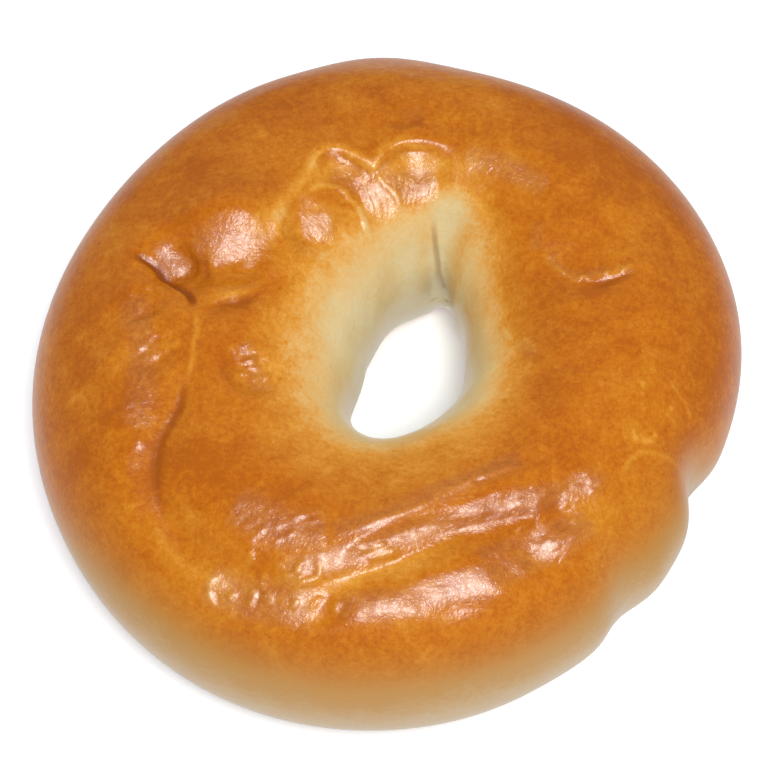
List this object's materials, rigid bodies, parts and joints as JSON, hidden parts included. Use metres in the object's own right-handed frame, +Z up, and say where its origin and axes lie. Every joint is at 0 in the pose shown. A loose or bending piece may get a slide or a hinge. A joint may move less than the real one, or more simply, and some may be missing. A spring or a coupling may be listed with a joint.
{
  "type": "bagel",
  "caption": "Plain boiled-and-baked ring of bread with a glossy browned top, folded seams, a pale hole wall and a flat underside it rests on.",
  "frame": {"origin": "middle of the flat underside, under the centre of the bagel's outer box", "axes": "+Z up through the hole, +X to the right and -Y towards the viewer when the long seam lies near"},
  "size_m": [0.1103, 0.1135, 0.0395],
  "materials": {
    "crust": "glossy golden-brown baked crust, pale cream in the hole and low on the flanks"
  },
  "bodies": {
    "root": {"bagel": "crust"}
  },
  "joints": []
}
